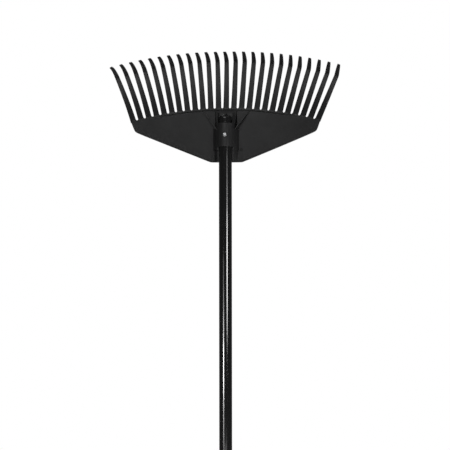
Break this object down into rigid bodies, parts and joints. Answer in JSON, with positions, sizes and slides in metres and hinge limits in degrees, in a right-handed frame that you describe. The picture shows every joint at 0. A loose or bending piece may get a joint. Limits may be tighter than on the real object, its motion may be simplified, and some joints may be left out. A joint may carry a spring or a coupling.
{
  "type": "leaf rake",
  "caption": "Leaf rake with a wide one-piece moulded head of fanned, hooked tines, screwed by its socket to a straight round tubular handle with a hanging cap.",
  "frame": {"origin": "centre of the hanging hole in the cap at the butt end of the handle, on the handle's axis", "axes": "+Z along the handle from the butt end to the head; -Y is the side that the tine tips point to and that carries the socket; +X to the right when looking along +Y"},
  "size_m": [0.4926, 0.0766, 1.3768],
  "materials": {
    "head_plastic": "satin black moulded polypropylene",
    "handle_paint": "gloss black baked enamel on steel tube",
    "screw_zinc": "bright zinc plate",
    "plug_plastic": "gloss black moulded plastic",
    "cap_plastic": "satin black moulded plastic"
  },
  "bodies": {
    "root": {"rake_head": "head_plastic", "handle_tube": "handle_paint", "socket_screw": "screw_zinc", "tube_plug": "plug_plastic", "hanging_cap": "cap_plastic"}
  },
  "joints": []
}
